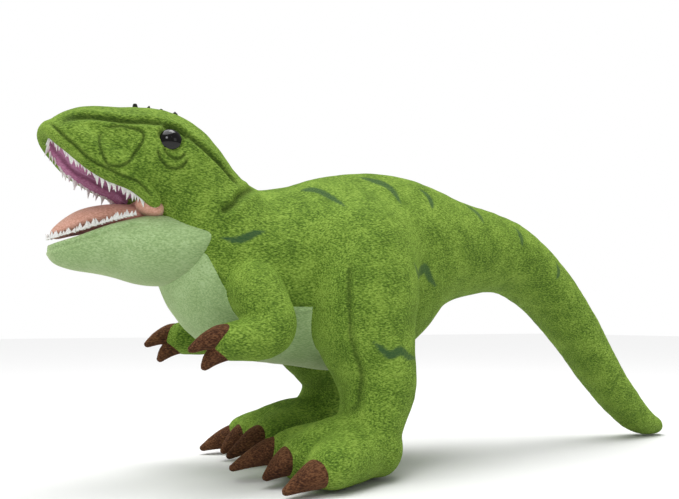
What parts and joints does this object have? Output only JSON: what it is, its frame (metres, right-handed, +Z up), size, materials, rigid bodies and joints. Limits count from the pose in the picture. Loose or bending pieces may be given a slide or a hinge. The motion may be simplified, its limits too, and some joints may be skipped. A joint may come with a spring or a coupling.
{
  "type": "stuffed dinosaur",
  "caption": "Plush two-legged meat-eating dinosaur with an open felt-toothed mouth, small arms, stuffed claws and a long drooping tail that rests on the ground.",
  "frame": {"origin": "on the ground under the middle of the toy's bounding box", "axes": "+X from the snout towards the tail tip, +Z up; the toy's left side faces -Y and its two halves mirror each other across Y = 0"},
  "size_m": [0.5, 0.1654, 0.2189],
  "materials": {
    "green_plush": "short pile",
    "pale_plush": "smooth short pile",
    "filling": "loose polyester fibre",
    "claw": "short pile",
    "felt": "felt",
    "mouth_lining": "smooth woven",
    "tongue": "smooth short pile",
    "eye": "polished",
    "washer": "moulded",
    "nub": "embroidery thread"
  },
  "bodies": {
    "torso": {"torso_cover": "green_plush", "torso_filling": "filling", "belly_panel": "pale_plush"},
    "neck": {"neck_cover": "green_plush", "neck_filling": "filling"},
    "head": {"head_cover": "green_plush", "head_filling": "filling", "cheek_cover": "pale_plush", "cheek_filling": "filling", "palate_lining": "mouth_lining", "upper_teeth": "felt", "eye_left": "eye", "eye_right": "eye", "eye_washer_left": "washer", "eye_washer_right": "washer", "crest_nubs": "nub"},
    "jaw": {"jaw_cover": "pale_plush", "jaw_filling": "filling", "mouth_floor_lining": "mouth_lining", "lower_teeth": "felt", "tongue": "tongue"},
    "arm_left": {"arm_cover_left": "green_plush", "arm_filling_left": "filling", "hand_claws_left": "claw"},
    "leg_left": {"leg_cover_left": "green_plush", "leg_filling_left": "filling", "sole_left": "green_plush", "foot_claws_left": "claw"},
    "arm_right": {"arm_cover_right": "green_plush", "arm_filling_right": "filling", "hand_claws_right": "claw"},
    "leg_right": {"leg_cover_right": "green_plush", "leg_filling_right": "filling", "sole_right": "green_plush", "foot_claws_right": "claw"},
    "tail_base": {"tail_base_cover": "green_plush", "tail_base_filling": "filling"},
    "tail_mid": {"tail_mid_cover": "green_plush", "tail_mid_filling": "filling"},
    "tail_tip": {"tail_tip_cover": "green_plush", "tail_tip_filling": "filling"}
  },
  "joints": [
    {"name": "neck_turn", "type": "hinge", "parent": "torso", "child": "neck", "pos_m": [-0.155, 0, 0.149], "axis": [0, 0, 1], "range_deg": [-16, 16], "stiffness_Nm_per_rad": 2},
    {"name": "head_nod", "type": "hinge", "parent": "neck", "child": "head", "pos_m": [-0.155, 0, 0.149], "axis": [0, 1, 0], "range_deg": [-10, 10], "stiffness_Nm_per_rad": 2.5},
    {"name": "jaw_bend", "type": "hinge", "parent": "head", "child": "jaw", "pos_m": [-0.196, 0, 0.15], "axis": [0, 1, 0], "range_deg": [-5, 18], "stiffness_Nm_per_rad": 0.6},
    {"name": "shoulder_left", "type": "hinge", "parent": "torso", "child": "arm_left", "pos_m": [-0.136, -0.057, 0.104], "axis": [0, 1, 0], "range_deg": [-20, 25], "stiffness_Nm_per_rad": 0.6},
    {"name": "shoulder_right", "type": "hinge", "parent": "torso", "child": "arm_right", "pos_m": [-0.129, 0.057, 0.104], "axis": [0, 1, 0], "range_deg": [-20, 25], "stiffness_Nm_per_rad": 0.6},
    {"name": "hip_left", "type": "hinge", "parent": "torso", "child": "leg_left", "pos_m": [-0.06, -0.0515, 0.125], "axis": [0, 1, 0], "range_deg": [-10, 10], "stiffness_Nm_per_rad": 8},
    {"name": "hip_right", "type": "hinge", "parent": "torso", "child": "leg_right", "pos_m": [-0.06, 0.0515, 0.125], "axis": [0, 1, 0], "range_deg": [-10, 10], "stiffness_Nm_per_rad": 8},
    {"name": "tail_root_bend", "type": "hinge", "parent": "torso", "child": "tail_base", "pos_m": [0.018, 0, 0.146], "axis": [0, 0, 1], "range_deg": [-12, 12], "stiffness_Nm_per_rad": 3},
    {"name": "tail_middle_bend", "type": "hinge", "parent": "tail_base", "child": "tail_mid", "pos_m": [0.1, 0, 0.135], "axis": [0, 0, 1], "range_deg": [-12, 12], "stiffness_Nm_per_rad": 2},
    {"name": "tail_end_bend", "type": "hinge", "parent": "tail_mid", "child": "tail_tip", "pos_m": [0.16, 0, 0.085], "axis": [0, 0, 1], "range_deg": [-12, 12], "stiffness_Nm_per_rad": 1.5}
  ],
  "couplings": [
    {"joint": "tail_middle_bend", "follows": "tail_root_bend", "ratio": 1},
    {"joint": "tail_end_bend", "follows": "tail_root_bend", "ratio": 1}
  ]
}
